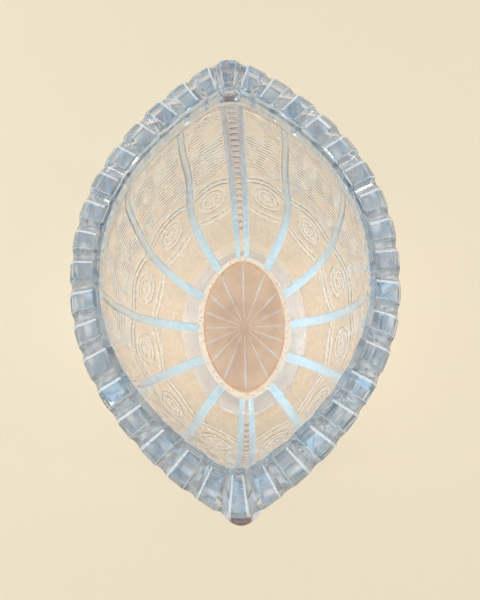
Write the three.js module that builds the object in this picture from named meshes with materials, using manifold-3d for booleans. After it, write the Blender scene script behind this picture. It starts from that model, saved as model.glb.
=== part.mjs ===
// A heavy cut-crystal vessel with a pointed-oval mouth, standing on a star-cut foot.
//
// Frame: millimetres, +Z up, origin under the middle of the foot. +Y runs along the mouth to the
// far tip, +X across it to the right. The glass is one thick wall, drawn here as its named regions:
// foot, plain ribs, cut panels between them, a ladder-cut spine at each tip, and a collar of teeth.
// Neighbouring regions stand a hairline seam apart.

import * as THREE from 'three';
import { LoftGeometry } from 'three/addons/geometries/LoftGeometry.js';
import { mergeVertices } from 'three/addons/utils/BufferGeometryUtils.js';
import Module from 'manifold-3d';

const wasm = await Module();
wasm.setup();

const { clamp, lerp, smoothstep } = THREE.MathUtils;

// ---------------------------------------------------------------- driving dimensions

const HEIGHT = 178; // foot to the top of the teeth
const COLLAR_BOTTOM = 158; // where the toothed collar sits on the wall
const FLOOR_TOP = 17; // thickness of the glass under the inside floor
const SEAM = 0.4; // between neighbouring regions

const RIM = { halfWidth: 68.5, halfLength: 96.5 }; // outer edge of the collar
const MOUTH = { halfWidth: 56, halfLength: 78.6 }; // inner edge of the collar
const FLOOR = { halfWidth: 30, halfLength: 49 }; // the inside floor
const FOOT = { halfWidth: 40, halfLength: 59 }; // where the foot meets the table
const FOOT_SHOULDER = { halfWidth: 49, halfLength: 68.5 }; // the outside at the floor's height

const TOOTH_PITCHES_PER_SIDE = 18; // one tooth is centred on each tip
const TEETH_PER_SEGMENT = 3;
const TOOTH_GROOVE_SHARE = 0.2; // half a groove, as a share of a pitch
const TOOTH_GROOVE_DEPTH = 2.6;
const TOOTH_BEVEL = 2.8; // sloping edge round the top of the teeth
const COLLAR_UNDERCUT = 2; // how far the wall below stands out beyond the collar's edge
const COLLAR_INNER_SLOPE = 4.6; // how far the mouth widens from the collar's foot to the inner edge
const COLLAR_LEAN = 0.6;
const MOUTH_SKEW = 0.5; // how far the mouth runs ahead of the outer edge between side and tip

const RIB_HALF_WIDTHS = [3.4, 2.2]; // at the foot and at the collar
const RIB_PROUD = 1.8; // how far a rib stands out of the panels
const RIB_COUNT_PER_SIDE = 5;
const RIB_CROWN = [0.2, 0.8]; // the stretch of a half circle that a rib's outside follows
// Outline parameter of each rib at the foot and at the collar, from the middle rib outwards.
const RIB_PLACES = [[0, 0], [0.43, 0.49], [0.815, 0.79]];

const SPINE_TOP_HALF_WIDTH = 9.2; // ladder and its two ribs together, at the collar
const SPINE_FOOT_HALF_WIDTH = 6.4; // the same at the foot
const LADDER_SHARES = [0.34, 0.52]; // the ladder's share of the spine's width, at foot and collar
const SPINE_PROUD = 6.8;
const SPINE_ROUNDING = 0.6; // share of the standing-out that is lost towards the spine's edges
const LADDER_RUNGS = 23;
const LADDER_CUT_DEPTH = 4.6;
const LADDER_CUT_SHARE = 0.56; // height of a cut, as a share of the rung pitch
const LADDER_CUTTER_WIDTH = 40; // wider than any spine

const STAR_RAYS = 16;
const STAR_INNER_RADIUS = 6;
const STAR_CUT_DEPTH = 1;
const STAR_CUT_HALF_WIDTH = 1.1;
const STAR_CUT_OVERSHOOT = 0.2; // how far the cutter starts below the foot
// Each station of a star cut: its place along the ray and its size there.
const STAR_WIDEST = { along: 0.85, size: 1 };
const STAR_START_SIZE = 0.25;
const STAR_END_SIZE = 0.3;

const FOOT_EDGE = { out: 1, z: 1.5 }; // small bevel at the table
const FOOT_WAIST = { out: 4, z: 9 }; // the flare is pulled in towards this point
const RIBS_RISE = [-2, 12]; // heights between which ribs and spines come to stand out in full

// ---------------------------------------------------------------- the wall's two surfaces

// Each point is (half width, half length, height) of the wall's plan outline.
const innerProfile = new THREE.CatmullRomCurve3([
  new THREE.Vector3(FLOOR.halfWidth, FLOOR.halfLength, FLOOR_TOP),
  new THREE.Vector3(53.5, 73.5, 37),
  new THREE.Vector3(65.2, 85.5, 64),
  new THREE.Vector3(68.9, 88.5, 105),
  new THREE.Vector3(66, 87, 140),
  new THREE.Vector3(61, 83.5, COLLAR_BOTTOM),
]);
const outerProfile = new THREE.CatmullRomCurve3([
  new THREE.Vector3(FOOT_SHOULDER.halfWidth, FOOT_SHOULDER.halfLength, FLOOR_TOP),
  new THREE.Vector3(63, 83.5, 37),
  new THREE.Vector3(72.5, 93, 64),
  new THREE.Vector3(76.5, 97, 104),
  new THREE.Vector3(74, 97.5, 140),
  new THREE.Vector3(70.5, 96.5, COLLAR_BOTTOM),
]);
const POINTED_FROM = 110; // the plan is an oval at the foot and pointed from this height up
const OVAL = { roundness: 1.7, fullness: 2.1, blunt: 0 };
const POINTED = { roundness: 1.06, fullness: 2.23, blunt: 0.055 };
const BLUNT_POWER = 18; // the higher, the closer to the tip the blunting stays
const NOSE = 1.3; // how far the pointed tips are drawn out into a round nose
const NOSE_WIDTHS = [4, 15]; // half widths between which the nose runs out into the sides
const SMALL_STEP = 0.002; // of the outline parameter, for taking differences
const MERGE_DISTANCE = 1e-4; // vertices closer together than this are one

// The two exponents of the plan outline at a height, how blunt its tips are, and their nose.
function planShape(z) {
  const pointed = smoothstep(z, FLOOR_TOP, POINTED_FROM);
  return {
    roundness: lerp(OVAL.roundness, POINTED.roundness, pointed),
    fullness: lerp(OVAL.fullness, POINTED.fullness, pointed),
    blunt: lerp(OVAL.blunt, POINTED.blunt, pointed),
    nose: NOSE * pointed,
  };
}

// A point of the right-hand half outline: w runs from -1 at the near tip to 1 at the far tip.
function planPoint(level, w) {
  const { roundness, fullness, blunt, nose } = planShape(level.z);
  const reach = Math.min(Math.abs(w), 1);
  const x = level.x * (1 - reach ** fullness) ** (1 / roundness);
  const y = level.y * ((1 + blunt) * reach - blunt * reach ** BLUNT_POWER);
  const drawnOut = nose * (1 - smoothstep(x, ...NOSE_WIDTHS));
  return new THREE.Vector3(x, Math.sign(w) * (y + drawnOut), level.z);
}

// The outline parameter at which the half outline is x wide.
function parameterAtWidth(level, x) {
  const { roundness, fullness } = planShape(level.z);
  return (1 - (x / level.x) ** roundness) ** (1 / fullness);
}

// The outline's direction, scaled by how far it moves per unit of w.
function planSlope(level, w) {
  const ahead = planPoint(level, w + SMALL_STEP);
  return ahead.sub(planPoint(level, w - SMALL_STEP)).divideScalar(2 * SMALL_STEP);
}

function planNormal(level, w) {
  const slope = planSlope(level, w);
  return new THREE.Vector3(slope.y, -slope.x, 0).normalize();
}

function mirrored(point, side) {
  return new THREE.Vector3(point.x * side, point.y, point.z);
}

// ---------------------------------------------------------------- solids

function ringCentre(ring) {
  return ring.reduce((sum, point) => sum.add(point), new THREE.Vector3()).divideScalar(ring.length);
}

// The direction that a ring of points winds about, by the right-hand rule.
function ringAxis(ring) {
  const centre = ringCentre(ring);
  const axis = new THREE.Vector3();
  ring.forEach((point, i) => {
    const next = ring[(i + 1) % ring.length];
    axis.add(point.clone().sub(centre).cross(next.clone().sub(centre)));
  });
  return axis;
}

// A capped loft through rings of points, with its faces outwards whichever way the rings wind.
function loft(rings) {
  const along = ringCentre(rings[1]).sub(ringCentre(rings[0]));
  const outwards = ringAxis(rings[0]).dot(along) > 0;
  const wound = outwards ? rings : rings.map((ring) => [...ring].reverse());
  return new LoftGeometry(wound, { capStart: true, capEnd: true });
}

function toManifold(geometry) {
  const bare = new THREE.BufferGeometry().copy(geometry);
  bare.deleteAttribute('normal');
  bare.deleteAttribute('uv');
  const merged = mergeVertices(bare, MERGE_DISTANCE);
  return new wasm.Manifold(new wasm.Mesh({
    numProp: 3,
    vertProperties: new Float32Array(merged.attributes.position.array),
    triVerts: new Uint32Array(merged.index.array),
  }));
}

function fromManifold(solid) {
  const { vertProperties, triVerts } = solid.getMesh();
  const geometry = new THREE.BufferGeometry();
  geometry.setAttribute('position', new THREE.BufferAttribute(vertProperties, 3));
  geometry.setIndex(new THREE.BufferAttribute(triVerts, 1));
  geometry.computeVertexNormals();
  return geometry;
}

function cutAll(geometry, cutters) {
  let solid = toManifold(geometry);
  for (const cutter of cutters) solid = solid.subtract(toManifold(cutter));
  return fromManifold(solid);
}

// ---------------------------------------------------------------- materials

function crystal(color) {
  return new THREE.MeshStandardMaterial({
    color, roughness: 0.04, metalness: 0, transparent: true, opacity: 0.45,
  });
}

const materials = {
  collar: crystal(0x8fa9b8),
  rib: crystal(0xa9c4d6),
  panel: crystal(0xdccbbb),
  ladder: crystal(0xb9cad2),
  foot: crystal(0xb89488),
};

const group = new THREE.Group();

function addPart(name, geometry, material) {
  const mesh = new THREE.Mesh(geometry, material);
  mesh.name = name;
  group.add(mesh);
}

// ---------------------------------------------------------------- foot with its star

const FLARE_STEPS = 4;
const FOOT_RIB_STEPS = [0, 0.1, 0.5, 0.9, 1]; // stations across a rib; the outer ones lie flat
// Stations from the tip to the edge of a spine; the ladder runs on down the foot as a channel.
const FOOT_SPINE_STEPS = [0, LADDER_SHARES[0], 0.4, 0.92, 1];
const FOOT_PANEL_STEPS = 4;

// The right-hand half of the foot's outline at one level, from the near tip to the far tip, with
// the ribs and spines standing out of it.
function halfFootRing(level) {
  const rise = smoothstep(level.z, ...RIBS_RISE);
  const spine = (tip) => FOOT_SPINE_STEPS.map((share) => {
    const standing = share > LADDER_SHARES[0] && share < 1;
    const proud = standing ? SPINE_PROUD * (1 - SPINE_ROUNDING * share ** 2) : 0;
    return spinePoint(level, SPINE_FOOT_HALF_WIDTH * share, proud * rise, tip);
  });
  const place = (rib, reach) => edgeParameter(level, 0, { rib, reach });
  const middle = (RIB_COUNT_PER_SIDE - 1) / 2;
  const points = spine(-1);
  let from = place(-middle - 1, 0);
  for (let rib = -middle; rib <= middle + 1; rib++) {
    const to = place(rib, -1);
    for (let i = 1; i < FOOT_PANEL_STEPS; i++) {
      points.push(onSurface(level, lerp(from, to, i / FOOT_PANEL_STEPS), 0, 1));
    }
    if (rib > middle) break;
    for (const step of FOOT_RIB_STEPS) {
      const crown = step % 1 === 0 ? 0 : RIB_PROUD * Math.sin(Math.PI * lerp(...RIB_CROWN, step));
      points.push(onSurface(level, place(rib, lerp(-1, 1, step)), crown * rise, 1));
    }
    from = place(rib, 1);
  }
  return [...points, ...spine(1).reverse()];
}

function footRing(level) {
  const right = halfFootRing(level);
  const left = right.slice(1, -1).reverse().map((point) => mirrored(point, -1));
  return [...right, ...left];
}

// A V-shaped cut that widens from the middle of the foot to the edge of the star.
function starCutter(ray) {
  const angle = (ray / STAR_RAYS) * 2 * Math.PI;
  const along = new THREE.Vector3(Math.cos(angle), Math.sin(angle), 0);
  const across = new THREE.Vector3(-along.y, along.x, 0);
  const reach = 1 / Math.hypot(along.x / FLOOR.halfWidth, along.y / FLOOR.halfLength);
  const section = (radius, size) => {
    const middle = along.clone().multiplyScalar(radius);
    const wide = across.clone().multiplyScalar(STAR_CUT_HALF_WIDTH * size);
    return [
      middle.clone().sub(wide).setZ(-STAR_CUT_OVERSHOOT),
      middle.clone().add(wide).setZ(-STAR_CUT_OVERSHOOT),
      middle.clone().setZ(STAR_CUT_DEPTH * size),
    ];
  };
  return loft([
    section(STAR_INNER_RADIUS, STAR_START_SIZE),
    section(reach * STAR_WIDEST.along, STAR_WIDEST.size),
    section(reach, STAR_END_SIZE),
  ]);
}

function buildFoot() {
  const beyondFoot = ({ out, z }) =>
    new THREE.Vector3(FOOT.halfWidth + out, FOOT.halfLength + out, z);
  const flare = new THREE.QuadraticBezierCurve3(
    beyondFoot(FOOT_EDGE),
    beyondFoot(FOOT_WAIST),
    new THREE.Vector3(FOOT_SHOULDER.halfWidth, FOOT_SHOULDER.halfLength, FLOOR_TOP - SEAM),
  );
  const levels = [beyondFoot({ out: 0, z: 0 }), ...flare.getPoints(FLARE_STEPS)];
  const body = loft(levels.map(footRing));
  const cutters = Array.from({ length: STAR_RAYS }, (_, ray) => starCutter(ray));
  addPart('star_foot', cutAll(body, cutters), materials.foot);
}

// ---------------------------------------------------------------- ribs, panels and spines

const WALL_LEVELS = 17;
const RIB_COLUMNS = 3;
const PANEL_COLUMNS = 4;
const SPINE_COLUMNS = 2;

// The wall's inner and outer outline at one of its levels, bottom to top.
function wallLevel(index) {
  const share = index / (WALL_LEVELS - 1);
  return { inner: innerProfile.getPoint(share), outer: outerProfile.getPoint(share), share };
}

const wallLevels = Array.from({ length: WALL_LEVELS }, (_, i) => wallLevel(i));

// Ribs are numbered from -2 by the near tip to 2 by the far tip, and lean a little as they rise.
function ribParameter(rib, share) {
  const [foot, collar] = RIB_PLACES[Math.abs(rib)];
  return Math.sign(rib) * lerp(foot, collar, share);
}

function spineHalfWidth(share) {
  return lerp(SPINE_FOOT_HALF_WIDTH, SPINE_TOP_HALF_WIDTH, share);
}

function ladderHalfWidth(share) {
  return spineHalfWidth(share) * lerp(...LADDER_SHARES, share);
}

// The outline parameter of a region's edge: reach is in half widths of the rib from its middle,
// and gap is a further distance away from it.
function edgeParameter(level, share, { rib, reach, gap = 0 }) {
  if (Math.abs(rib) >= RIB_PLACES.length) {
    const width = spineHalfWidth(share) + SEAM;
    return Math.sign(rib) * parameterAtWidth(level, width);
  }
  const centre = ribParameter(rib, share);
  const offset = reach * lerp(...RIB_HALF_WIDTHS, share) + Math.sign(reach) * gap;
  return centre + offset / planSlope(level, centre).length();
}

function onSurface(level, w, proud, side) {
  const point = planPoint(level, w).addScaledVector(planNormal(level, w), proud);
  return mirrored(point, side);
}

// Ring round a piece of wall between two edges: along the inside, then back along the outside.
function wallRing(level, low, high, columns, side, proudAt) {
  const ring = [];
  for (const [surface, outside] of [[level.inner, false], [level.outer, true]]) {
    const from = edgeParameter(surface, level.share, low);
    const to = edgeParameter(surface, level.share, high);
    for (let i = 0; i <= columns; i++) {
      const share = outside ? 1 - i / columns : i / columns;
      const proud = outside ? proudAt(share) : 0;
      ring.push(onSurface(surface, lerp(from, to, share), proud, side));
    }
  }
  return ring;
}

function buildRib(name, rib, side) {
  const low = { rib, reach: -1 };
  const high = { rib, reach: 1 };
  const crown = (across) => RIB_PROUD * Math.sin(Math.PI * lerp(...RIB_CROWN, across));
  const rings = wallLevels.map((level) => wallRing(level, low, high, RIB_COLUMNS, side, crown));
  addPart(name, loft(rings), materials.rib);
}

function buildPanel(name, lowRib, side) {
  const low = { rib: lowRib, reach: 1, gap: SEAM };
  const high = { rib: lowRib + 1, reach: -1, gap: SEAM };
  const flat = () => 0;
  const rings = wallLevels.map((level) => wallRing(level, low, high, PANEL_COLUMNS, side, flat));
  addPart(name, loft(rings), materials.panel);
}

// Points of the spine at x across the tip; the tip's own outline sets how far out they lie.
function spinePoint(surface, x, proud, tip) {
  const w = tip * parameterAtWidth(surface, Math.abs(x));
  const point = planPoint(surface, w);
  return new THREE.Vector3(x, point.y + tip * proud, point.z);
}

function spineRing(level, fromX, toX, tip) {
  const ring = [];
  const half = spineHalfWidth(level.share);
  for (const [surface, outside] of [[level.inner, false], [level.outer, true]]) {
    for (let i = 0; i <= SPINE_COLUMNS; i++) {
      const across = i / SPINE_COLUMNS;
      const x = lerp(fromX, toX, outside ? 1 - across : across);
      const proud = SPINE_PROUD * (1 - SPINE_ROUNDING * (x / half) ** 2);
      ring.push(spinePoint(surface, x, outside ? proud : 0, tip));
    }
  }
  return ring;
}

function buildSpineRib(name, tip, side) {
  const rings = wallLevels.map((level) => {
    const from = ladderHalfWidth(level.share) + SEAM;
    return spineRing(level, side * from, side * spineHalfWidth(level.share), tip);
  });
  addPart(name, loft(rings), materials.rib);
}

// The line down the outside of a spine, from the foot to the collar.
function spineLine(tip) {
  const points = wallLevels.map((level) => spinePoint(level.outer, 0, SPINE_PROUD, tip));
  return new THREE.CatmullRomCurve3(points);
}

function buildLadder(name, tip) {
  const body = loft(wallLevels.map((level) => {
    const half = ladderHalfWidth(level.share);
    return spineRing(level, -half, half, tip);
  }));
  const line = spineLine(tip);
  const pitch = line.getLength() / LADDER_RUNGS;
  const cutters = Array.from({ length: LADDER_RUNGS - 1 }, (_, i) => {
    const at = (i + 1) / LADDER_RUNGS;
    const tangent = line.getTangentAt(at);
    const cutter = new THREE.BoxGeometry(
      LADDER_CUTTER_WIDTH, 2 * LADDER_CUT_DEPTH, pitch * LADDER_CUT_SHARE,
    );
    cutter.rotateX(Math.atan2(-tangent.y, tangent.z));
    const place = line.getPointAt(at);
    cutter.translate(0, place.y, place.z);
    return cutter;
  });
  addPart(name, cutAll(body, cutters), materials.ladder);
}

function buildWall() {
  const middle = (RIB_COUNT_PER_SIDE - 1) / 2;
  for (const [side, word] of [[-1, 'left'], [1, 'right']]) {
    for (let rib = -middle; rib <= middle; rib++) {
      buildRib(`rib_${word}_${rib + middle + 1}`, rib, side);
    }
    for (let rib = -middle - 1; rib <= middle; rib++) {
      buildPanel(`panel_${word}_${rib + middle + 2}`, rib, side);
    }
  }
  for (const [tip, word] of [[-1, 'near'], [1, 'far']]) {
    buildSpineRib(`spine_rib_${word}_left`, tip, -1);
    buildSpineRib(`spine_rib_${word}_right`, tip, 1);
    buildLadder(`ladder_${word}`, tip);
  }
}

// ---------------------------------------------------------------- collar of teeth

// The right-hand half of the collar's outer edge, from the near tip to the far tip.
class CollarEdge extends THREE.Curve {
  constructor() {
    super();
    this.arcLengthDivisions = 1000; // fine enough to space the teeth evenly round the tips
    this.level = new THREE.Vector3(RIM.halfWidth, RIM.halfLength, HEIGHT);
  }

  getPoint(t) {
    return planPoint(this.level, 2 * t - 1);
  }
}

const collarEdge = new CollarEdge();
const mouthLevel = new THREE.Vector3(MOUTH.halfWidth, MOUTH.halfLength, HEIGHT);

// Where a cross-section of the collar stands: its outer and inner edge points on one side.
// The inner edge runs ahead of the outer one, so that the grooves cross the collar squarely.
function collarSpot(pitches, side) {
  const share = clamp(pitches / TOOTH_PITCHES_PER_SIDE, 0, 1);
  const w = 2 * collarEdge.getUtoTmapping(share) - 1;
  const reach = Math.abs(w);
  const innerReach = reach + MOUTH_SKEW * reach ** 3 * (1 - reach);
  return {
    outer: mirrored(planPoint(collarEdge.level, w), side),
    inner: mirrored(planPoint(mouthLevel, Math.sign(w) * innerReach), side),
  };
}

const TOOTH_FOOT = HEIGHT - 9.5; // the grooves run out at this height
const BEVEL_FOOT = HEIGHT - 3;
const INNER_BEVEL = 2;
// Where the two upper edges of the collar lie, and how much of a groove's depth reaches them.
const OUTER_EDGE_IN = 0.2;
const OUTER_EDGE_DIP = 0.4; // how much further in the outer one lies in the bottom of a groove
const OUTER_EDGE_DROP = 0.5;
const INNER_EDGE_IN = 0.6;
const INNER_EDGE_DROP = 0.6;

// One cross-section: groove is 0 on a tooth and 1 in the bottom of a groove.
function collarRing({ outer, inner }, groove) {
  const inward = inner.clone().sub(outer);
  const width = inward.length();
  inward.normalize();
  const at = (distance, z) => outer.clone().addScaledVector(inward, distance).setZ(z);
  const drop = TOOTH_GROOVE_DEPTH * groove;
  return [
    at(-COLLAR_UNDERCUT, COLLAR_BOTTOM + SEAM),
    at(-COLLAR_LEAN, TOOTH_FOOT),
    at(OUTER_EDGE_IN + OUTER_EDGE_DIP * groove, BEVEL_FOOT - drop * OUTER_EDGE_DROP),
    at(TOOTH_BEVEL, HEIGHT - drop),
    at(width - INNER_BEVEL, HEIGHT - drop),
    at(width - INNER_EDGE_IN * groove, BEVEL_FOOT - drop * INNER_EDGE_DROP),
    at(width - COLLAR_LEAN, TOOTH_FOOT),
    at(width - COLLAR_INNER_SLOPE, COLLAR_BOTTOM + SEAM),
  ];
}

// Cross-sections of one tooth, from the groove before it to the groove after it.
const HALF_DOWN = { share: TOOTH_GROOVE_SHARE / 2, groove: 0.75 };
const TOOTH_STATIONS = [
  { share: 0, groove: 1 },
  HALF_DOWN,
  { share: TOOTH_GROOVE_SHARE, groove: 0 },
  { share: 1 - TOOTH_GROOVE_SHARE, groove: 0 },
  { share: 1 - HALF_DOWN.share, groove: HALF_DOWN.groove },
];
const NOSE_STATIONS = [-0.2, 0, 0.2]; // extra cross-sections round the bend of the middle tooth

// The stations of a run of teeth that starts in a groove, in pitches from the near tip.
function toothRun(firstGroove, teeth) {
  const stations = [];
  for (let tooth = 0; tooth < teeth; tooth++) {
    for (const { share, groove } of TOOTH_STATIONS) {
      stations.push({ pitches: firstGroove + tooth + share, groove });
    }
  }
  stations.push({ pitches: firstGroove + teeth, groove: 1 });
  const halfSeam = SEAM / 2 / (collarEdge.getLength() / TOOTH_PITCHES_PER_SIDE);
  stations[0].pitches += halfSeam;
  stations[stations.length - 1].pitches -= halfSeam;
  return stations;
}

function buildCollarSegment(name, firstGroove, side) {
  const rings = toothRun(firstGroove, TEETH_PER_SEGMENT).map(({ pitches, groove }) =>
    collarRing(collarSpot(pitches, side), groove));
  addPart(name, loft(rings), materials.collar);
}

// The three teeth of a nose: the run crosses the tip, so it starts on the left and ends right.
function buildCollarNose(name, tip) {
  const run = toothRun(-TEETH_PER_SEGMENT / 2, TEETH_PER_SEGMENT);
  run.push(...NOSE_STATIONS.map((pitches) => ({ pitches, groove: 0 })));
  run.sort((a, b) => a.pitches - b.pitches);
  const rings = run.map(({ pitches, groove }) => {
    const fromTip = Math.abs(pitches);
    const place = tip < 0 ? fromTip : TOOTH_PITCHES_PER_SIDE - fromTip;
    return collarRing(collarSpot(place, Math.sign(pitches) || 1), groove);
  });
  addPart(name, loft(rings), materials.collar);
}

function buildCollar() {
  const noseHalf = TEETH_PER_SEGMENT / 2;
  const segments = (TOOTH_PITCHES_PER_SIDE - TEETH_PER_SEGMENT) / TEETH_PER_SEGMENT;
  for (const [side, word] of [[-1, 'left'], [1, 'right']]) {
    for (let i = 0; i < segments; i++) {
      buildCollarSegment(`rim_${word}_${i + 1}`, noseHalf + i * TEETH_PER_SEGMENT, side);
    }
  }
  buildCollarNose('rim_nose_near', -1);
  buildCollarNose('rim_nose_far', 1);
}

buildFoot();
buildWall();
buildCollar();

export default group;
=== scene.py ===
# A heavy cut-crystal vessel with a pointed-oval mouth, looked down into from above.
#
# The glass is one closed mesh, made of rings of points that run from the middle of the underside,
# up the outside, over the toothed collar and down the inside to the middle of the floor. It repeats
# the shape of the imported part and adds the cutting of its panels. Lengths are in millimetres until
# the mesh is made, and the frame's own axes are used throughout.

import math

import bpy
import numpy as np
from mathutils import Matrix, Vector


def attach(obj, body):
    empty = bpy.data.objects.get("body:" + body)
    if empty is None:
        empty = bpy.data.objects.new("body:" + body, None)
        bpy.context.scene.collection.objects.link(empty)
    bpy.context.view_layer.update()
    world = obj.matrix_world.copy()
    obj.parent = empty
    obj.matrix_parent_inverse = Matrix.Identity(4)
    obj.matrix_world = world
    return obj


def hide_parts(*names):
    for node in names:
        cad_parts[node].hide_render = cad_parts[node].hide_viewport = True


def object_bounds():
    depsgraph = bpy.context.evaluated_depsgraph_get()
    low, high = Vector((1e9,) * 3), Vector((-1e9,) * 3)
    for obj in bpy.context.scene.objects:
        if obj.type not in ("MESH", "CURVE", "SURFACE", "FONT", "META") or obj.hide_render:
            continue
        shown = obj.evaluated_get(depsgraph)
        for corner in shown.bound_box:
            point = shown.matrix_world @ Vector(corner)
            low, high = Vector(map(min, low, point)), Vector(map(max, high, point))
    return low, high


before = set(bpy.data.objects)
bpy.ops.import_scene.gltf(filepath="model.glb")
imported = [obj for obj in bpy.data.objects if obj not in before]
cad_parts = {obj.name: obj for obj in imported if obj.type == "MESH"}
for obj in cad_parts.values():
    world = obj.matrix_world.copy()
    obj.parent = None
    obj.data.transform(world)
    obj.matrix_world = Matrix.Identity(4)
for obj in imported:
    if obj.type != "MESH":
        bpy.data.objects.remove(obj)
cad_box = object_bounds()

MM = 0.001

# ---------------------------------------------------------------- dimensions, in millimetres

HEIGHT = 178.0
COLLAR_BOTTOM = 158.0
FLOOR_TOP = 17.0
RIM = (68.5, 96.5)  # half width and half length, here and in the next three
MOUTH = (56.0, 78.6)
FLOOR = (30.0, 49.0)
FOOT = (40.0, 59.0)
FOOT_EDGE = (1, 1.5)  # how far out the flare starts, and how high
FOOT_WAIST = (4, 9.0)  # the point that the flare is pulled towards
RIBS_RISE = (-2, 12)  # heights over which ribs and spines come to stand out in full

TOOTH_PITCHES_PER_SIDE = 18
TOOTH_GROOVE_SHARE = 0.2  # half a groove, as a share of a pitch
TOOTH_GROOVE_DEPTH = 2.6
TOOTH_CHAMFER_SHARE = 0.022  # of a pitch
TOOTH_CHAMFER_DROP = 0.12  # of a groove's depth
TOOTH_FOOT = HEIGHT - 9.5
BEVEL_FOOT = HEIGHT - 3.0
GROOVE_STATIONS = (0.35, 0.65, 0.9)  # columns between a groove's middle and its edge
TOOTH_TOP_STEPS = 10
GROOVE_UNEVENNESS = 0.12
GROOVE_TURN = 2.3  # radians, from one groove's unevenness to the next one's
TOOTH_BEVEL = 2.8  # sloping edge round the outside of the teeth
INNER_BEVEL = 2.0  # and round their inside
COLLAR_UNDERCUT = 2.0  # how far the wall stands out beyond the collar's edge
COLLAR_LEAN = 0.6
COLLAR_INNER_SLOPE = 4.6  # how far the mouth widens from its edge down to the wall
MOUTH_SKEW = 0.5  # how far the mouth runs ahead of the outer edge between side and tip
SEAM = 0.4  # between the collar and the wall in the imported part
# Where the collar's two upper edges lie, and how much of a groove's depth reaches them.
OUTER_EDGE_IN = 0.2
OUTER_EDGE_DIP = 0.4
OUTER_EDGE_DROP = 0.5
INNER_EDGE_IN = 0.6
INNER_EDGE_DROP = 0.6

RIB_HALF_WIDTHS = (3.4, 2.2)  # at the foot and at the collar
RIB_PROUD = 1.8
RIB_CROWN = (0.2, 0.8)  # the stretch of a sine's arch that a rib's outside follows
# Outline parameter of each rib at the foot and at the collar, from the middle rib outwards.
RIB_PLACES = ((0.0, 0.0), (0.43, 0.49), (0.815, 0.79))
SPINE_TOP_HALF_WIDTH = 9.2
SPINE_FOOT_HALF_WIDTH = 6.4
LADDER_SHARES = (0.34, 0.52)  # of the spine's width, at the foot and at the collar
SPINE_PROUD = 6.8
SPINE_ROUNDING = 0.6  # share of the standing-out that is lost towards a spine's edges
SINK_SHARE = 0.02  # ribs and spines die into the wall over this share of its height, at its top
LADDER_RUNGS = 23
LADDER_CUT_DEPTH = 4.6

STAR_RAYS = 16
STAR_INNER_RADIUS = 6.0
STAR_CUT_DEPTH = 1.0
STAR_CUT_HALF_WIDTH = 1.1
STAR_WIDEST = 0.85  # share of a ray at which its cut is widest
STAR_START_SIZE = 0.25  # of the cut at the ray's inner end, as a share of its widest
STAR_END_SIZE = 0.3

# ---------------------------------------------------------------- the wall's two profiles

# Each point is the half width and half length of the wall's plan, and their height.
INNER_POINTS = [
    (*FLOOR, FLOOR_TOP), (53.5, 73.5, 37), (65.2, 85.5, 64),
    (68.9, 88.5, 105), (66, 87, 140), (61, 83.5, COLLAR_BOTTOM),
]
OUTER_POINTS = [
    (49, 68.5, FLOOR_TOP), (63, 83.5, 37), (72.5, 93, 64),
    (76.5, 97, 104), (74, 97.5, 140), (70.5, 96.5, COLLAR_BOTTOM),
]
POINTED_FROM = 110.0
OVAL = (1.7, 2.1, 0.0)  # roundness, fullness and bluntness of the plan at the foot
POINTED = (1.06, 2.23, 0.055)  # and from POINTED_FROM up
BLUNT_POWER = 18  # the higher, the closer to the tip the blunting stays
NOSE = 1.3  # how far the tips are drawn out
NOSE_WIDTHS = (4.0, 15.0)  # half widths between which the nose runs out into the sides


def lerp(a, b, t):
    return a + (b - a) * t


def smoothstep(x, low, high):
    t = np.clip((x - low) / (high - low), 0, 1)
    return t * t * (3 - 2 * t)


def catmull_rom(points, t):
    """A centripetal Catmull-Rom curve through the points, at parameters t from 0 to 1."""
    p = np.array(points, float)
    p = np.vstack([2 * p[0] - p[1], p, 2 * p[-1] - p[-2]])
    spans = len(points) - 1
    at = np.clip(np.asarray(t, float), 0, 1) * spans
    i = np.minimum(at.astype(int), spans - 1)
    u = (at - i)[:, None]
    p0, p1, p2, p3 = p[i], p[i + 1], p[i + 2], p[i + 3]
    gap = lambda a, b: np.sqrt(np.linalg.norm(b - a, axis=1))[:, None]
    d0, d1, d2 = gap(p0, p1), gap(p1, p2), gap(p2, p3)
    t1 = ((p1 - p0) / d0 - (p2 - p0) / (d0 + d1) + (p2 - p1) / d1) * d1
    t2 = ((p2 - p1) / d1 - (p3 - p1) / (d1 + d2) + (p3 - p2) / d2) * d1
    return p1 + t1 * u + (3 * (p2 - p1) - 2 * t1 - t2) * u**2 + (2 * (p1 - p2) + t1 + t2) * u**3


def plan_xy(half_width, half_length, z, w):
    """Points of the right-hand half outline; w runs from -1 at the near tip to 1 at the far tip."""
    pointed = smoothstep(z, FLOOR_TOP, POINTED_FROM)
    roundness, fullness, blunt = (lerp(a, b, pointed) for a, b in zip(OVAL, POINTED))
    reach = np.minimum(np.abs(w), 1)
    x = half_width * (1 - reach**fullness) ** (1 / roundness)
    y = half_length * ((1 + blunt) * reach - blunt * reach**BLUNT_POWER)
    y = y + NOSE * pointed * (1 - smoothstep(x, *NOSE_WIDTHS))
    return x, np.sign(w) * y


# ---------------------------------------------------------------- columns round the half outline

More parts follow.
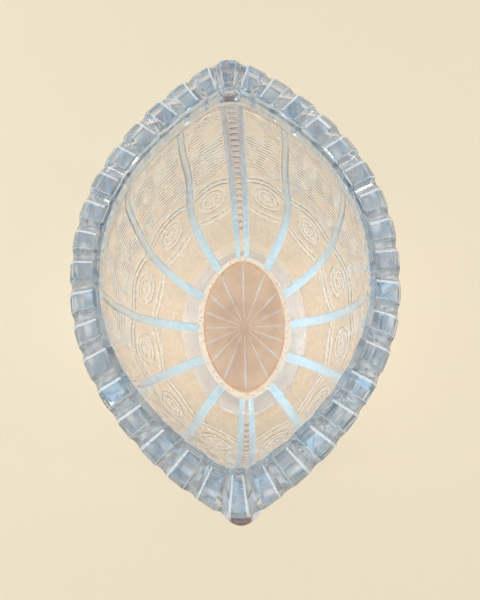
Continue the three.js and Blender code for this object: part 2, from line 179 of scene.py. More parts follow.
OUTLINE_SAMPLES = 1601
DENSE = -np.cos(np.linspace(0, math.pi, OUTLINE_SAMPLES))  # w, closer together at the tips
NORMAL_STEP = 0.2  # to either side of a point, for taking its normal
LADDER_COLUMNS, SPINE_COLUMNS, PANEL_COLUMNS, RIB_COLUMNS = 7, 10, 46, 10
PANELS_PER_SIDE = 6
SEGMENTS = ["ladder", "spine"] + ["panel", "rib"] * (PANELS_PER_SIDE - 1)
SEGMENTS += ["panel", "spine", "ladder"]
COLUMNS_OF = {
    "ladder": LADDER_COLUMNS, "spine": SPINE_COLUMNS, "panel": PANEL_COLUMNS, "rib": RIB_COLUMNS,
}
COLUMNS = sum(COLUMNS_OF[s] for s in SEGMENTS)  # in one half outline
PITCH_COLUMNS = COLUMNS // TOOTH_PITCHES_PER_SIDE


class Outline:
    """The half outline at one level, with its arc length."""

    def __init__(self, half_width, half_length, z):
        self.size = (half_width, half_length)
        self.z = z
        x, y = plan_xy(half_width, half_length, z, DENSE)
        self.x, self.y = x, y
        self.length = np.concatenate([[0], np.cumsum(np.hypot(np.diff(x), np.diff(y)))])

    def length_at_w(self, w):
        return np.interp(w, DENSE, self.length)

    def length_at_width(self, x, tip):
        """Arc length where the outline is x wide, on the near (-1) or far (1) side."""
        half = len(DENSE) // 2
        if tip < 0:
            return np.interp(x, self.x[: half + 1], self.length[: half + 1])
        return np.interp(x, self.x[half:][::-1], self.length[half:][::-1])

    def rough_point(self, length):
        return np.interp(length, self.length, self.x), np.interp(length, self.length, self.y)

    def at(self, length):
        """x, y and the outward normal at an arc length."""
        w = np.interp(length, self.length, DENSE)
        x, y = plan_xy(*self.size, self.z, w)
        ax, ay = self.rough_point(length - NORMAL_STEP)
        bx, by = self.rough_point(length + NORMAL_STEP)
        nx, ny = by - ay, ax - bx
        size = np.hypot(nx, ny)
        return x, y, nx / size, ny / size


def region_lengths(outline, share):
    """Arc lengths of the columns that divide the wall into its regions."""
    half = lerp(SPINE_FOOT_HALF_WIDTH, SPINE_TOP_HALF_WIDTH, share)
    total = outline.length[-1]
    knots = [0.0]
    ladder_half = half * lerp(*LADDER_SHARES, share)
    knots += [outline.length_at_width(x, -1) for x in (ladder_half, half)]
    for rib in range(-2, 3):
        foot, collar = RIB_PLACES[abs(rib)]
        centre = outline.length_at_w(np.sign(rib) * lerp(foot, collar, share))
        half_rib = lerp(*RIB_HALF_WIDTHS, share)
        knots += [centre - half_rib, centre + half_rib]
    knots += [outline.length_at_width(x, 1) for x in (half, ladder_half)]
    knots.append(total)
    lengths = []
    for name, start, end in zip(SEGMENTS, knots, knots[1:]):
        count = COLUMNS_OF[name]
        lengths += [lerp(start, end, i / count) for i in range(count)]
    return np.array(lengths + [total])


def tooth_shares():
    """Where the columns stand in the collar, in pitches, and how deep in a groove each one is.
    A groove is round-bottomed, with a narrow chamfer along each edge."""
    edge = TOOTH_GROOVE_SHARE
    in_groove = [0] + [edge * s for s in GROOVE_STATIONS] + [edge, edge + TOOTH_CHAMFER_SHARE]
    steps = TOOTH_TOP_STEPS
    on_tooth = [lerp(in_groove[-1], 1 - in_groove[-1], i / steps) for i in range(1, steps)]
    one = in_groove + on_tooth + [1 - s for s in in_groove[:0:-1]]
    depth = []
    for share in one:
        off = min(share, 1 - share)
        bowl = TOOTH_CHAMFER_DROP + (1 - TOOTH_CHAMFER_DROP) * (1 - (off / edge) ** 2)
        chamfer = TOOTH_CHAMFER_DROP * (in_groove[-1] - off) / TOOTH_CHAMFER_SHARE
        depth.append(bowl if off <= edge else max(0, chamfer))
    places, depths = [], []
    for p in range(TOOTH_PITCHES_PER_SIDE + 1):
        places += [p - 0.5 + s for s in one]
        depths += [d * (1 + GROOVE_UNEVENNESS * math.sin(GROOVE_TURN * p)) for d in depth]
    shift = PITCH_COLUMNS // 2  # a tooth, not a groove, is centred on each tip
    kept = slice(shift, shift + COLUMNS + 1)
    return np.array(places[kept]), np.array(depths[kept])


# ---------------------------------------------------------------- rings of points

def whole(x, y):
    """The whole outline from its right-hand half: near tip, right side, far tip, left side."""
    return np.concatenate([x, -x[-2:0:-1]]), np.concatenate([y, y[-2:0:-1]])


def both_sides(values):
    return np.concatenate([values, values[-2:0:-1]])


class Skin:
    """Rings of points stacked into one closed surface, with a material for each face."""

    def __init__(self):
        self.points, self.faces, self.materials, self.count = [], [], [], 0
        self.last = None

    def add(self, x, y, z, material=None):
        """A ring; material is one index for the band below it, or one for each of its faces."""
        n = len(x)
        ring = np.arange(self.count, self.count + n)
        self.points.append(np.column_stack([x, y, np.broadcast_to(z, n)]))
        self.count += n
        if self.last is not None:
            self.join(self.last, ring, material)
        self.last = ring

    def join(self, a, b, material):
        """The band between two rings. Either may be a single point, or their counts may differ."""
        if len(a) == len(b):
            faces = np.column_stack([a, np.roll(a, -1), np.roll(b, -1), b])
            self.faces += faces.tolist()
        elif len(a) == 1:
            faces = np.column_stack([np.full(len(b), a[0]), np.roll(b, -1), b])
            self.faces += faces.tolist()
        elif len(b) == 1:
            faces = np.column_stack([a, np.roll(a, -1), np.full(len(a), b[0])])
            self.faces += faces.tolist()
        else:
            faces = self.zip(a, b)
            self.faces += faces
            material = material if np.ndim(material) == 0 else FOOT_RING
        self.materials.append(np.broadcast_to(material, len(faces)))

    def zip(self, a, b):
        """Triangles between two level rings of different counts that both start at the near tip."""
        points = np.vstack(self.points)
        turns = []
        for ring in (a, b):
            angle = np.unwrap(np.arctan2(points[ring, 1], points[ring, 0]))
            turns.append(np.append(angle, angle[0] + 2 * math.pi))
        faces, i, j = [], 0, 0
        n, m = len(a), len(b)
        while i < n or j < m:
            if j == m or (i < n and turns[0][i + 1] <= turns[1][j + 1]):
                faces.append([a[i], a[(i + 1) % n], b[j % m]])
                i += 1
            else:
                faces.append([a[i % n], b[(j + 1) % m], b[j]])
                j += 1
        return [[int(v) for v in f] for f in faces]


# ---------------------------------------------------------------- the cutting of the outside

# The material index of each region of the glass.
(
    FOOT_GLASS, STAR, RIB, PANEL, CUT, COLLAR, INSIDE, FLOOR_GLASS,
    COLLAR_CUT, COLLAR_PAINTED_GLINT, FOOT_SIDE, FLOOR_EDGE, FOOT_RING, SPINE,
) = range(14)

ROWS_PER_RUNG = 8
WALL_ROWS = LADDER_RUNGS * ROWS_PER_RUNG
LADDER_NOTCH = {0: 1.0, 1: 1.0, 2: 0.85}  # depth by rows away from the middle of a cut
RUNG_FACE_ROWS = (4, 5)
EDGE_TOLERANCE = 1e-6
LEVEL_TOLERANCE = 0.01

PANEL_MARGIN = (0.02, 0.12)  # shares of a half panel over which its cutting fades in from an edge
ROWS_PER_LINE = 4
LINES_FROM = 0.50  # the fine lines cover the wall from this share of its height up
LINES_TO = 0.975
LINE_DEPTH = 0.42
LINE_EVEN_SHARE = 0.6
LINE_PATCH_SHARE = 0.25
# Each patchiness of the lines is its radians per mm across and per row, and its start.
LINE_PATCHES = ((0.16, 0.11, 0), (0.31, -0.07, 1.2))
# Each swag is its height, how far its ends are above its middle, and its depth.
SWAGS = ((66.0, -5.0, 0.6), (61.0, -5.0, 0.6), (28.0, 4.0, 0.5), (23.5, 4.0, 0.5))
CUT_HALF_WIDTH = 1.5  # of the swags and the rosette's rings
ROSETTE_CENTRE = 45.0
ROSETTE_RINGS = ((10.5, 0.55), (6.8, 0.5))  # radius and depth
ROSETTE_RAYS = 10
RAY_DEPTH = 0.5
RAY_HALF_WIDTH = 1.0
RAY_CLEARANCE = 0.5  # from the middle and from the inner ring
UNPOLISHED_FROM = 0.12  # cuts deeper than this are left a little rough
FLUTES = 4
FLUTE_SPAN = (2.0, 20.0)  # along the tip line, from the foot of the wall
FLUTE_DEPTH = 0.3
FLUTE_HALF_WIDTH = 2.4


def groove(distance, half_width):
    """A V groove's depth, from 0 at its edge to 1 in its middle."""
    return np.clip(1 - np.abs(distance) / half_width, 0, 1)


def carving(across, half, up, share, row):
    """How deep the panel is cut across one row, and how much of that is left unpolished."""
    a = across * half
    ends = smoothstep(1 - np.abs(across), *PANEL_MARGIN)
    depth = np.zeros_like(a)
    if LINES_FROM <= share <= LINES_TO and row % ROWS_PER_LINE == ROWS_PER_LINE // 2:
        patch = sum(np.sin(a * wide + row * high + at) for wide, high, at in LINE_PATCHES)
        depth = np.maximum(depth, LINE_DEPTH * (LINE_EVEN_SHARE + LINE_PATCH_SHARE * patch))
    for place, sag, deep in SWAGS:
        depth = np.maximum(depth, deep * groove(up - place - sag * across**2, CUT_HALF_WIDTH))
    r = np.hypot(a, up - ROSETTE_CENTRE)
    for radius, deep in ROSETTE_RINGS:
        depth = np.maximum(depth, deep * groove(r - radius, CUT_HALF_WIDTH))
    angle = np.arctan2(up - ROSETTE_CENTRE, a)
    turn = angle * ROSETTE_RAYS / (2 * math.pi)
    off = np.abs(turn - np.round(turn)) * 2 * math.pi / ROSETTE_RAYS * r
    inside = (r > RAY_CLEARANCE) & (r < ROSETTE_RINGS[1][0] - RAY_CLEARANCE)
    depth = np.maximum(depth, RAY_DEPTH * groove(off, RAY_HALF_WIDTH) * inside)
    unpolished = depth * ends
    low, high = FLUTE_SPAN
    if low < up < high:
        flute = across * (FLUTES / 2)
        off = np.abs(flute - np.round(flute)) * 2 * half / FLUTES
        fade = math.sin(math.pi * (up - low) / (high - low))
        depth = np.maximum(depth, FLUTE_DEPTH * fade * groove(off, FLUTE_HALF_WIDTH))
    return depth * ends, unpolished


def wall_offset(share, row, up, half_widths):
    """How far each column of the half outline stands out of the plain wall, and its material. A
    negative up marks a row of the foot, where the ladders run on as plain channels."""
    sink = float(smoothstep(1 - share, 0.0, SINK_SHARE))
    offset, material = [], []
    for index, name in enumerate(SEGMENTS):
        count = COLUMNS_OF[name]
        t = np.arange(count) / count
        if name == "panel":
            across = 2 * t - 1
            depth, unpolished = carving(across, half_widths[index], up, share, row)
            offset.append(-depth)
            material.append(np.where(unpolished > UNPOLISHED_FROM, CUT, PANEL))
            continue
        far = index > len(SEGMENTS) / 2
        if name == "rib":
            inside = t > 0
            crown = RIB_PROUD * np.sin(math.pi * lerp(*RIB_CROWN, t))
            offset.append(np.where(inside, crown, 0) * sink)
        else:
            ladder = lerp(*LADDER_SHARES, share)
            start, end = (0, ladder) if name == "ladder" else (ladder, 1)
            x = lerp(end, start, t) if far else lerp(start, end, t)
            proud = SPINE_PROUD * (1 - SPINE_ROUNDING * x**2)
            if name == "ladder":
                away = min(row % ROWS_PER_RUNG, -row % ROWS_PER_RUNG)
                sunk = LADDER_NOTCH.get(away, 0.0) * LADDER_CUT_DEPTH if up >= 0 else proud
                proud = proud - np.where(x >= ladder - EDGE_TOLERANCE, 0, sunk)
                on_rung = up >= 0 and row % ROWS_PER_RUNG in RUNG_FACE_ROWS
                material.append(np.full(count, SPINE if on_rung else PANEL))
            if name == "spine" and far:
                proud = np.where(t == 0, 0, proud)
            offset.append(proud * sink)
        if name != "ladder":
            material.append(np.full(count, RIB if name == "rib" else SPINE))
    first = offset[0][0]
    return np.append(np.concatenate(offset), first), np.concatenate(material)


# ---------------------------------------------------------------- building the skin

RAY_COLUMNS = 24
HALF_CUT_COLUMNS = 3
WIDEST_CUT = 0.6  # of the space between two rays, where they crowd together
STAR_RINGS = (0.04, 0.075, 0.12, 0.2, 0.3, 0.4, 0.5, 0.6, 0.7, 0.78, 0.85, 0.92, 0.97, 1.0, 1.02, 1.1)
ANGLE_TOLERANCE = 1e-9
FLARE_STEPS = 12
ON_FOOT = -100  # stands for a height up the wall, below all of its cutting
TIP_LINE_SAMPLES = 2001

skin = Skin()


def add_underside():
    """The star-cut underside: rings round the middle, with a V for each ray."""
    in_groove = HALF_CUT_COLUMNS
    half = RAY_COLUMNS // 2
    skin.add(np.zeros(1), np.zeros(1), 0.0)
    quarter = math.pi / STAR_RAYS
    j = np.arange(-half, half)
    for share in STAR_RINGS:
        angles, heights, material = [], [], []
        for ray in range(STAR_RAYS):
            middle = -math.pi / 2 + 2 * math.pi * ray / STAR_RAYS
            reach = 1 / math.hypot(math.cos(middle) / FLOOR[0], math.sin(middle) / FLOOR[1])
            radius = reach * share
            if radius < STAR_INNER_RADIUS or share > 1:
                size = 0.0
            elif share < STAR_WIDEST:
                run = (radius - STAR_INNER_RADIUS) / (reach * STAR_WIDEST - STAR_INNER_RADIUS)
                size = lerp(STAR_START_SIZE, 1, run)
            else:
                size = lerp(1, STAR_END_SIZE, (share - STAR_WIDEST) / (1 - STAR_WIDEST))
            half_groove = STAR_CUT_HALF_WIDTH * max(size, STAR_START_SIZE) / radius
            half_groove = min(half_groove, WIDEST_CUT * quarter)
            if share > 1:
                half_groove = quarter * in_groove / half
            offset = np.where(
                np.abs(j) <= in_groove,
                half_groove * np.abs(j) / in_groove,
                lerp(half_groove, quarter, (np.abs(j) - in_groove) / (half - in_groove)),
            ) * np.sign(j)
            angles.append(middle + offset)
            heights.append(STAR_CUT_DEPTH * size * np.clip(1 - np.abs(j) / in_groove, 0, 1))
            cut = (j >= -in_groove) & (j < in_groove) & (size > 0)
            material.append(np.where(cut, STAR, FOOT_GLASS))
        angle = np.roll(np.concatenate(angles), -half)
        angle = np.where(angle < -math.pi / 2 - ANGLE_TOLERANCE, angle + 2 * math.pi, angle)
        reach = 1 / np.hypot(np.cos(angle) / FLOOR[0], np.sin(angle) / FLOOR[1])
        radius = reach * share
        z = np.roll(np.concatenate(heights), -half)
        face = np.roll(np.concatenate(material), -half)
        skin.add(radius * np.cos(angle), radius * np.sin(angle), z, face)


def foot_profile(t):
    """Half width, half length and height up the flare, from the table to the wall."""
    a, b = (np.array([FOOT[0] + out, FOOT[1] + out, z]) for out, z in (FOOT_EDGE, FOOT_WAIST))
    c = np.array(OUTER_POINTS[0], float)
    return (1 - t) ** 2 * a + 2 * t * (1 - t) * b + t**2 * c


def add_foot():
    flare = [foot_profile(t) for t in np.linspace(0, 1, FLARE_STEPS + 1)[:-1]]
    for half_width, half_length, z in [(*FOOT, 0.0)] + flare:
        fade = float(smoothstep(z, *RIBS_RISE))
        place_row(Outline(half_width, half_length, z), 0.0, 0, ON_FOOT, fade)


def tip_line_shares():
    """Shares of the wall's profile that are evenly spaced along its tip, and the length there."""
    t = np.linspace(0, 1, TIP_LINE_SAMPLES)
    p = catmull_rom(OUTER_POINTS, t)
    length = np.concatenate([[0], np.cumsum(np.hypot(np.diff(p[:, 1]), np.diff(p[:, 2])))])
    wanted = np.linspace(0, length[-1], WALL_ROWS + 1)
    return np.interp(wanted, length, t), wanted


def place_row(outline, share, row, up, fade=1.0):
    """One ring of the outside, with its ribs, spines and cutting. The band below it takes the
    material of whichever of its two rings is cut."""
    lengths = region_lengths(outline, share)
    starts = np.cumsum([0] + [COLUMNS_OF[s] for s in SEGMENTS])
    half_widths = [(lengths[b] - lengths[a]) / 2 for a, b in zip(starts, starts[1:])]
    offset, here = wall_offset(share, row, up, half_widths)
    offset = offset * fade
    x, y, nx, ny = outline.at(lengths)
    spine = LADDER_COLUMNS + SPINE_COLUMNS
    tip = (np.arange(COLUMNS + 1) <= spine) | (np.arange(COLUMNS + 1) >= COLUMNS - spine)
    nx = np.where(tip, 0, nx)
    ny = np.where(tip, np.sign(y), ny)
    if outline.z < FLOOR_TOP - LEVEL_TOLERANCE:
        here = np.where(here == PANEL, FOOT_SIDE, here)
    below = place_row.last if place_row.last is not None else here
    merged = np.where(below == CUT, CUT, here)
    ring = whole(x + nx * offset, y + ny * offset)
    skin.add(*ring, outline.z, np.concatenate([merged, merged[::-1]]))
    place_row.last = here


place_row.last = None  # the materials of the row below


def add_outer_wall():
    shares, ups = tip_line_shares()
    levels = catmull_rom(OUTER_POINTS, shares)
    for row, (share, up, level) in enumerate(zip(shares, ups, levels)):
        place_row(Outline(*level), share, row, up)


COLLAR_RISE = (0.04, 0.3, 0.6, 0.85, 1.0)  # shares of the way from the wall to the teeth
COLUMNS_TURN = (0.04, 0.9)  # over which the wall's columns move to the teeth's places
OUTSIDE_STEPS = (5, 3)
TOP_STEPS = 6
INSIDE_STEPS = (3, 5, 5)


def add_collar():
    """Up the collar's outside, across its teeth and down to where the inner wall begins. Gives
    back where the columns stand round the mouth, as shares of its length."""
    places, deep = tooth_shares()
    rim = Outline(*RIM, HEIGHT)
    mouth = Outline(*MOUTH, HEIGHT)
    tooth = rim.length[-1] * np.clip(places / TOOTH_PITCHES_PER_SIDE, 0, 1)
    wall = region_lengths(rim, 1.0)
    wall = wall * rim.length[-1] / wall[-1]

    def spots(lengths):
        w = np.interp(lengths, rim.length, DENSE)
        reach = np.abs(w)
        inner_w = np.sign(w) * (reach + MOUTH_SKEW * reach**3 * (1 - reach))
        ox, oy = plan_xy(*RIM, HEIGHT, w)
        ix, iy = plan_xy(*MOUTH, HEIGHT, inner_w)
        return ox, oy, ix, iy, mouth.length_at_w(inner_w) / mouth.length[-1]

    def ring(lengths, distance, z, material, from_inside=False):
        ox, oy, ix, iy, _ = spots(lengths)
        width = np.hypot(ix - ox, iy - oy)
        d = (width + distance if from_inside else distance) / width
        x, y = whole(ox + (ix - ox) * d, oy + (iy - oy) * d)
        skin.add(x, y, both_sides(z) if np.ndim(z) else z, material)

    drop = TOOTH_GROOVE_DEPTH * deep
    level = np.ones_like(deep)
    high = np.maximum(deep[:-1], deep[1:])
    in_cut = high > TOOTH_CHAMFER_DROP + LEVEL_TOLERANCE
    # the narrow chamfer faces take a whitish frosted glass, a painted glint along each groove's edges
    face = np.where(in_cut, COLLAR_CUT, np.where(high > 0, COLLAR_PAINTED_GLINT, COLLAR))
    cut = np.concatenate([face, face[::-1]])
    for t in COLLAR_RISE:
        lengths = lerp(wall, tooth, float(smoothstep(t, *COLUMNS_TURN)))
        z = lerp(COLLAR_BOTTOM, TOOTH_FOOT, t)
        ring(lengths, lerp(-COLLAR_UNDERCUT, -COLLAR_LEAN, t), z, material=PANEL)
    outside = [
        (-COLLAR_LEAN * level, TOOTH_FOOT * level),
        (OUTER_EDGE_IN + OUTER_EDGE_DIP * deep, BEVEL_FOOT - OUTER_EDGE_DROP * drop),
        (TOOTH_BEVEL * level, HEIGHT - drop),
    ]
    for (d0, z0), (d1, z1), steps in zip(outside, outside[1:], OUTSIDE_STEPS):
        for i in range(1, steps + 1):
            ring(tooth, lerp(d0, d1, i / steps), lerp(z0, z1, i / steps), material=cut)
    ox, oy, ix, iy, fractions = spots(tooth)
    width = np.hypot(ix - ox, iy - oy)
    for i in range(1, TOP_STEPS):
        # the top runs straight across from the outer bevel to the inner one
        across = lerp(TOOTH_BEVEL, width - INNER_BEVEL, i / TOP_STEPS)
        ring(tooth, across, HEIGHT - drop, material=cut)
    inside = [
        (-INNER_BEVEL * level, HEIGHT - drop),
        (-INNER_EDGE_IN * deep, BEVEL_FOOT - INNER_EDGE_DROP * drop),
        (-COLLAR_LEAN * level, TOOTH_FOOT * level),
        (-COLLAR_INNER_SLOPE * level, (COLLAR_BOTTOM + SEAM) * level),
    ]
    ring(tooth, *inside[0], from_inside=True, material=cut)
    for (d0, z0), (d1, z1), steps in zip(inside, inside[1:], INSIDE_STEPS):
        material = INSIDE if z0[0] <= TOOTH_FOOT else COLLAR
        for i in range(1, steps + 1):
            d, z = lerp(d0, d1, i / steps), lerp(z0, z1, i / steps)
            ring(tooth, d, z, from_inside=True, material=material)
    return fractions


INNER_ROWS = 80
EVENED_OVER = 40  # below the collar, the columns become evenly spaced over this height
WAVE_HEIGHT = 0.15
WAVE_FADE = 0.7
# Each wave is its strength, its turns round the axis, its radians per mm of height, and its start.
WAVES = ((1, 5, 0.09, 0), (0.7, 11, -0.06, 1.3), (0.5, 17, 0.13, 0.4), (0.4, 3, 0.21, 0))
FLOOR_RINGS = (0.985, 0.955, 0.85, 0.7, 0.55, 0.4, 0.25, 0.1)
FLOOR_EDGE_FROM = 0.95
FLOOR_DIP = 0.35  # how much lower the middle of the floor is than its edge
FLOOR_DIP_POWER = 6


def add_inside(fractions):
    """The polished inside, slightly wavy as blown glass is, down to the floor."""
    fractions = fractions[::2]
    even = np.linspace(0, 1, len(fractions))
    t = np.linspace(1, 0, INNER_ROWS + 1)[1:]
    for half_width, half_length, z in catmull_rom(INNER_POINTS, t):
        outline = Outline(half_width, half_length, z)
        evened = float(smoothstep(COLLAR_BOTTOM - z, 0, EVENED_OVER))
        x, y, nx, ny = outline.at(lerp(fractions, even, evened) * outline.length[-1])
        x, y = whole(x, y)
        nx, ny = whole(nx, ny)
        up = (z - FLOOR_TOP) / (COLLAR_BOTTOM - FLOOR_TOP)
        fade = math.sin(math.pi * min(max(up, 0), 1)) ** WAVE_FADE
        turn = np.arctan2(y, x)
        wave = sum(s * np.sin(turns * turn + high * z + at) for s, turns, high, at in WAVES)
        push = WAVE_HEIGHT * fade * wave
        skin.add(x + nx * push, y + ny * push, z, INSIDE)
    floor_outline = Outline(*FLOOR, FLOOR_TOP)
    x, y, _, _ = floor_outline.at(even * floor_outline.length[-1])
    x, y = whole(x, y)
    for share in FLOOR_RINGS:
        z = FLOOR_TOP - FLOOR_DIP * (1 - share**FLOOR_DIP_POWER)
        skin.add(x * share, y * share, z, FLOOR_EDGE if share > FLOOR_EDGE_FROM else FLOOR_GLASS)
    skin.add(np.zeros(1), np.zeros(1), FLOOR_TOP - FLOOR_DIP, FLOOR_GLASS)


add_underside()
add_foot()
add_outer_wall()
mouth_fractions = add_collar()
add_inside(mouth_fractions)

SHARP_ANGLE = math.radians(24)  # edges that turn by more than this stay crisp

mesh = bpy.data.meshes.new("crystal_vessel")
mesh.from_pydata((np.vstack(skin.points) * MM).tolist(), [], skin.faces)
mesh.polygons.foreach_set("material_index", np.concatenate(skin.materials).astype(np.int32))
mesh.polygons.foreach_set("use_smooth", np.ones(len(mesh.polygons), bool))
mesh.update()
mesh.set_sharp_from_angle(angle=SHARP_ANGLE)
vessel = bpy.data.objects.new("crystal_vessel", mesh)
bpy.context.scene.collection.objects.link(vessel)
valid = not mesh.validate()
print("vessel", len(mesh.vertices), "vertices", len(mesh.polygons), "faces", "valid", valid)

# ---------------------------------------------------------------- materials

GLASS_IOR = 1.54
ROUGHNESS_SPAN = (0.6, 1.4)  # times a glass's own roughness, over its grain
MOTTLE_SPAN = (0.35, 0.65)  # noise values between which the tint turns into its light patches
GRAIN_DETAIL = 3
BUMP_HEIGHT = 0.0004  # metres
SHADOW_CLEARING = 0.5  # how much paler its shadow is than the glass


def srgb(*values):
    """A linear colour from 0-255 display values."""
    v = np.array(values) / 255
    return (*np.where(v <= 0.04045, v / 12.92, ((v + 0.055) / 1.055) ** 2.4), 1)


def paler(colour, share):
    return tuple(lerp(c, 1.0, share) for c in colour[:3]) + (1,)


def glass(name, colour, roughness, frost=0.0, bump=0.0, grain=300.0, stretch=1.0,
          spread=0.35, upper=None, upper_frost=0.0, rise=(0, 0)):
    """Cut or polished glass: frost is the share of it that scatters light like ground glass, and
    stretch draws its grain out in height, as in blown glass. Spread is how much lighter its light
    patches are. Colour and frost turn into the upper ones over the heights in rise. Lamps shine
    through all of it, and its shadow takes its tint."""
    mat = bpy.data.materials.new(name)
    mat.use_nodes = True
    nt = mat.node_tree
    nodes, links = nt.nodes, nt.links
    p = nodes["Principled BSDF"]
    out = nodes["Material Output"]
    coords = nodes.new("ShaderNodeTexCoord")
    noise = nodes.new("ShaderNodeTexNoise")
    noise.inputs["Scale"].default_value = grain
    noise.inputs["Detail"].default_value = GRAIN_DETAIL
    squeeze = nodes.new("ShaderNodeVectorMath")
    squeeze.operation = "MULTIPLY"
    squeeze.inputs[1].default_value = (1, 1, 1 / stretch)
    links.new(coords.outputs["Object"], squeeze.inputs[0])
    links.new(squeeze.outputs["Vector"], noise.inputs["Vector"])
    ramp = nodes.new("ShaderNodeMapRange")
    ramp.inputs["To Min"].default_value = roughness * ROUGHNESS_SPAN[0]
    ramp.inputs["To Max"].default_value = roughness * ROUGHNESS_SPAN[1]
    links.new(noise.outputs["Fac"], ramp.inputs["Value"])
    links.new(ramp.outputs["Result"], p.inputs["Roughness"])
    mottle = nodes.new("ShaderNodeMapRange")
    mottle.inputs["From Min"].default_value = MOTTLE_SPAN[0]
    mottle.inputs["From Max"].default_value = MOTTLE_SPAN[1]
    links.new(noise.outputs["Fac"], mottle.inputs["Value"])
    tint = nodes.new("ShaderNodeMix")
    tint.data_type = "RGBA"
    tint.inputs["A"].default_value = colour
    tint.inputs["B"].default_value = paler(colour, spread)
    links.new(mottle.outputs["Result"], tint.inputs["Factor"])
    links.new(tint.outputs["Result"], p.inputs["Base Color"])
    if upper:
        split = nodes.new("ShaderNodeSeparateXYZ")
        links.new(coords.outputs["Object"], split.inputs["Vector"])
        ramp_up = nodes.new("ShaderNodeMapRange")
        ramp_up.inputs["From Min"].default_value = rise[0] * MM
        ramp_up.inputs["From Max"].default_value = rise[1] * MM
        links.new(split.outputs["Z"], ramp_up.inputs["Value"])
        turned = nodes.new("ShaderNodeMix")
        turned.data_type = "RGBA"
        turned.inputs["B"].default_value = upper
        links.new(ramp_up.outputs["Result"], turned.inputs["Factor"])
        links.new(tint.outputs["Result"], turned.inputs["A"])
        links.new(turned.outputs["Result"], p.inputs["Base Color"])
        clearing = nodes.new("ShaderNodeMapRange")
        clearing.inputs["To Min"].default_value = 1 - frost
        clearing.inputs["To Max"].default_value = 1 - upper_frost
        links.new(ramp_up.outputs["Result"], clearing.inputs["Value"])
        links.new(clearing.outputs["Result"], p.inputs["Transmission Weight"])
    p.inputs["IOR"].default_value = GLASS_IOR
    p.inputs["Transmission Weight"].default_value = 1 - frost
    if bump:
        bumper = nodes.new("ShaderNodeBump")
        bumper.inputs["Strength"].default_value = bump
        bumper.inputs["Distance"].default_value = BUMP_HEIGHT
        links.new(noise.outputs["Fac"], bumper.inputs["Height"])
        links.new(bumper.outputs["Normal"], p.inputs["Normal"])
    path = nodes.new("ShaderNodeLightPath")
    clear = nodes.new("ShaderNodeBsdfTransparent")
    clear.inputs["Color"].default_value = paler(colour, SHADOW_CLEARING)
    mix = nodes.new("ShaderNodeMixShader")
    links.new(path.outputs["Is Shadow Ray"], mix.inputs["Fac"])
    links.new(p.outputs["BSDF"], mix.inputs[1])
    links.new(clear.outputs["BSDF"], mix.inputs[2])
    links.new(mix.outputs["Shader"], out.inputs["Surface"])
    return mat


FLARE_RISE = (4, FLOOR_TOP)  # heights over which the foot's side changes
RIB_RISE = (FLOOR_TOP, 120)  # and over which the pale blue of ribs and spines turns grey or white; that pale blue low down is painted light, standing in for the sky light they catch near the foot
MATERIALS = {
    FOOT_GLASS: glass("foot_glass", srgb(240, 226, 216), 0.02),
    FOOT_SIDE: glass("foot_side", srgb(255, 236, 216), 0.35, frost=0.3,
                     upper=srgb(255, 230, 204), upper_frost=0.2, rise=FLARE_RISE),
    FOOT_RING: glass("foot_ring", srgb(226, 224, 226), 0.3, frost=0.12),
    STAR: glass("star_cuts", srgb(255, 243, 226), 0.5, frost=0.95, bump=0.3),
    # Pale blue low down on the ribs and spines: painted light from the sky.
    RIB: glass("rib_glass", srgb(212, 244, 255), 0.14, frost=0.9, spread=0.6,
               upper=srgb(222, 226, 228), upper_frost=0.34, rise=RIB_RISE),
    SPINE: glass("spine_glass", srgb(212, 244, 255), 0.25, frost=0.85, spread=0.6,
                 upper=srgb(255, 251, 248), upper_frost=0.4, rise=RIB_RISE),
    PANEL: glass("panel_glass", srgb(219, 204, 202), 0.1, bump=0.15),
    CUT: glass("panel_cuts", srgb(255, 244, 236), 0.25, frost=0.2),
    # The collar's steel-blue tint is painted reflection: it stands in for the cool sky and the dim
    # horizon seen in the rim.
    COLLAR: glass("collar_glass", srgb(184, 222, 252), 0.01, frost=0.14, spread=0.6),
    COLLAR_CUT: glass("collar_cuts", srgb(226, 242, 252), 0.03, frost=0.14, spread=0.5),
    # Whitish frosted strips along the grooves' edges: painted glints where the cut edges catch the
    # light.
    COLLAR_PAINTED_GLINT: glass("collar_edges_painted_glint", srgb(250, 254, 255), 0.3, frost=0.55),
    INSIDE: glass("inner_glass", srgb(255, 255, 255), 0.015, bump=0.7, grain=60.0, stretch=5.0),
    # The floor's darker brownish tint, and the darker orange-brown of its edge, are painted shade:
    # the table in the foot's contact shadow, seen through the floor.
    FLOOR_GLASS: glass("floor_glass_painted_shade", srgb(191, 177, 177), 0.012, bump=0.03, grain=60.0),
    FLOOR_EDGE: glass("floor_edge_painted_shade", srgb(198, 146, 112), 0.05, frost=0.1),
}
for index in sorted(MATERIALS):
    mesh.materials.append(MATERIALS[index])

# ---------------------------------------------------------------- floor, world, lights

FLOOR_REACH = 3.0  # in metres, like everything below
FLOOR_LEVEL = -0.0003  # just under the foot
FLOOR_COLOUR = srgb(240, 219, 188)
FLOOR_ROUGHNESS = 0.9
# The height in the sky, from 0 at the horizon to 1 overhead, and its colour there.
SKY = ((0.05, srgb(190, 201, 211)), (0.75, srgb(234, 241, 247)))
SKY_STRENGTH = 0.74
LIT_POINT = (0, 0, 0.1)

floor_mesh = bpy.data.meshes.new("floor")
corners = ((-1, -1), (1, -1), (1, 1), (-1, 1))
floor_mesh.from_pydata(
    [(x * FLOOR_REACH, y * FLOOR_REACH, FLOOR_LEVEL) for x, y in corners], [], [(0, 1, 2, 3)])
floor = bpy.data.objects.new("floor", floor_mesh)
bpy.context.scene.collection.objects.link(floor)
floor_mat = bpy.data.materials.new("pale_floor")
floor_mat.use_nodes = True
floor_surface = floor_mat.node_tree.nodes["Principled BSDF"]
floor_surface.inputs["Base Color"].default_value = FLOOR_COLOUR
floor_surface.inputs["Roughness"].default_value = FLOOR_ROUGHNESS
floor_mesh.materials.append(floor_mat)

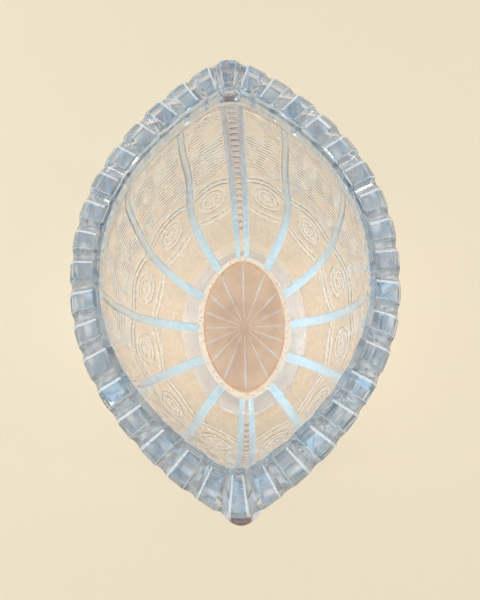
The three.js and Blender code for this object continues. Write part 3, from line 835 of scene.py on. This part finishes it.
world = bpy.data.worlds.new("studio")
bpy.context.scene.world = world
world.use_nodes = True
nt = world.node_tree
background = nt.nodes["Background"]
coords = nt.nodes.new("ShaderNodeTexCoord")
split = nt.nodes.new("ShaderNodeSeparateXYZ")
ramp = nt.nodes.new("ShaderNodeValToRGB")
nt.links.new(coords.outputs["Generated"], split.inputs["Vector"])
nt.links.new(split.outputs["Z"], ramp.inputs["Fac"])
nt.links.new(ramp.outputs["Color"], background.inputs["Color"])
for stop, (height, colour) in zip(ramp.color_ramp.elements, SKY):
    stop.position = height
    stop.color = colour
background.inputs["Strength"].default_value = SKY_STRENGTH


def softbox(name, place, size, power, colour):
    """A lamp of this size in metres and power in watts, turned to the glass."""
    data = bpy.data.lights.new(name, "AREA")
    data.shape = "RECTANGLE"
    data.size, data.size_y = size
    data.energy = power
    data.color = colour
    light = bpy.data.objects.new(name, data)
    aim = (Vector(LIT_POINT) - Vector(place)).to_track_quat("-Z", "Y")
    light.matrix_world = Matrix.LocRotScale(Vector(place), aim, None)
    bpy.context.scene.collection.objects.link(light)


softbox("window", (-1.1, 0.5, 0.9), (0.9, 0.7), 6.4, (0.74, 0.89, 1.0))
softbox("fill", (1.0, 0.4, 1.0), (0.8, 0.5), 2.6, (1.0, 0.97, 0.94))
softbox("strip_right", (0.8, -0.15, 1.2), (0.07, 0.8), 3.0, (0.94, 0.98, 1.0))
softbox("strip_left", (-0.7, -0.15, 1.1), (0.07, 0.8), 3.0, (0.8, 0.92, 1.0))

# ---------------------------------------------------------------- camera

# A hand-held view nearly straight down; its picture's top is towards +Y.
LENS = 36.075  # millimetres, on a sensor this wide
SENSOR_WIDTH = 36.0
CLIP_START = 0.01
RISE = 0.189  # above the rim
CAMERA_XY = (0.0086, -0.0547)
AIM_XY = (0.0026, -0.01505)  # on the plane of the rim
ROLL = math.radians(1.51)
camera_data = bpy.data.cameras.new("camera")
camera_data.sensor_fit = "HORIZONTAL"
camera_data.sensor_width = SENSOR_WIDTH
camera_data.lens = LENS
camera_data.clip_start = CLIP_START
camera = bpy.data.objects.new("camera", camera_data)
top = cad_box[1].z
place = Vector((*CAMERA_XY, top + RISE))
aim = Vector((*AIM_XY, top))
back = (place - aim).normalized()
right = Vector((0, 1, 0)).cross(back).normalized()
turn = Matrix((right, back.cross(right), back)).transposed().to_4x4()
camera.matrix_world = Matrix.Translation(place) @ turn @ Matrix.Rotation(-ROLL, 4, "Z")
bpy.context.scene.collection.objects.link(camera)
bpy.context.scene.camera = camera
bpy.context.scene.view_settings.view_transform = "Standard"

# ---------------------------------------------------------------- frame

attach(vessel, "root")
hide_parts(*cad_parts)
